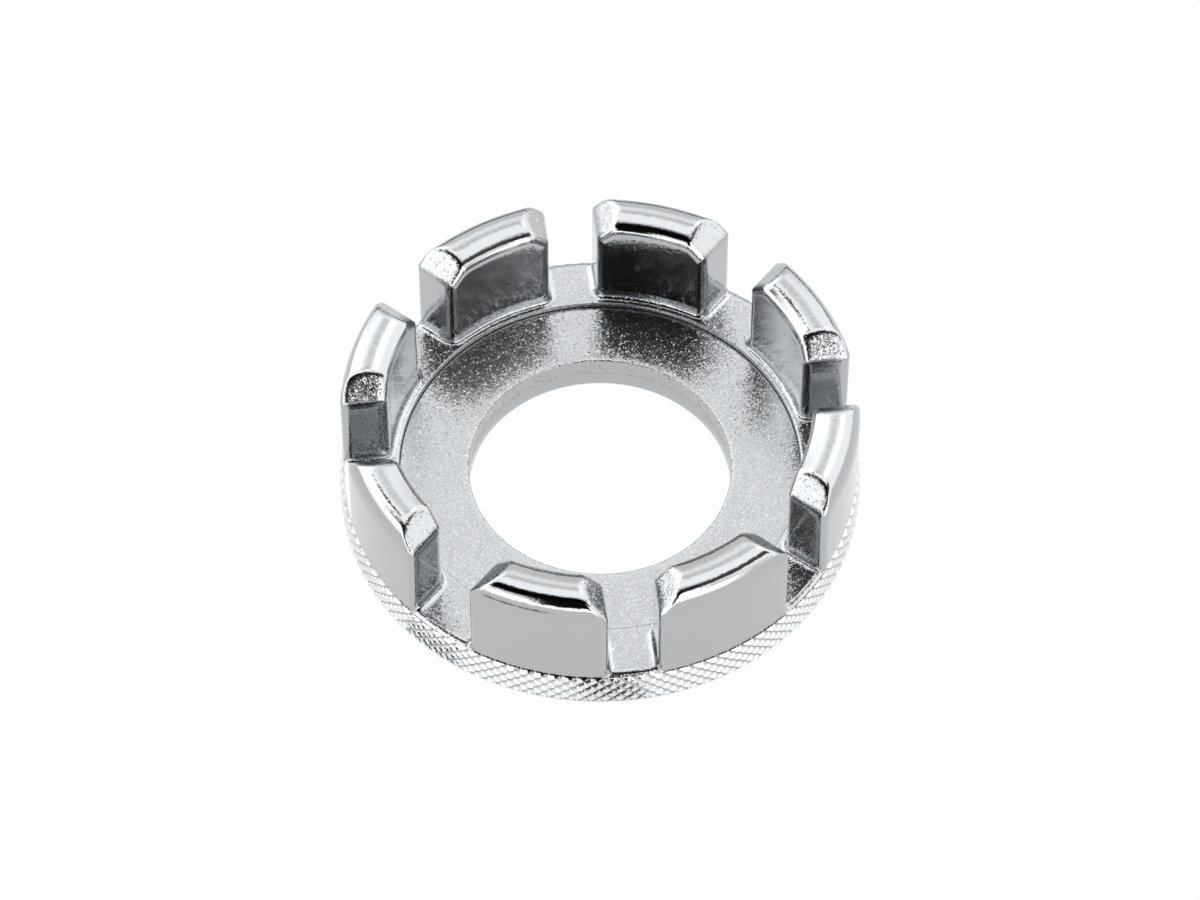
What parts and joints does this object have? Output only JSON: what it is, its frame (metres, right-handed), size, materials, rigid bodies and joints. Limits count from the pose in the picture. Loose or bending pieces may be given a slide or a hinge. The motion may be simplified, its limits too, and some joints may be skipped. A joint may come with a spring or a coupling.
{
  "type": "spoke wrench",
  "caption": "Round spoke wrench: a knurled disc with a large hole and curved jaws standing on it, with radial slots of several widths between them.",
  "frame": {"origin": "centre of the flat underside", "axes": "+Z out of the jaws' side along the hole's axis; slot 1 opens towards -Y and the slots count anticlockwise from above"},
  "size_m": [0.056, 0.056, 0.017],
  "materials": {
    "jaw_plate": "bright nickel plating, glossy on the crowns and finely blasted on the facets",
    "web_plate": "satin nickel plating over a finely blasted surface",
    "knurl_plate": "bright nickel plating on a diamond knurl"
  },
  "bodies": {
    "root": {"jaw_ring": "jaw_plate", "centre_plate": "web_plate", "knurled_rim": "knurl_plate"}
  },
  "joints": []
}
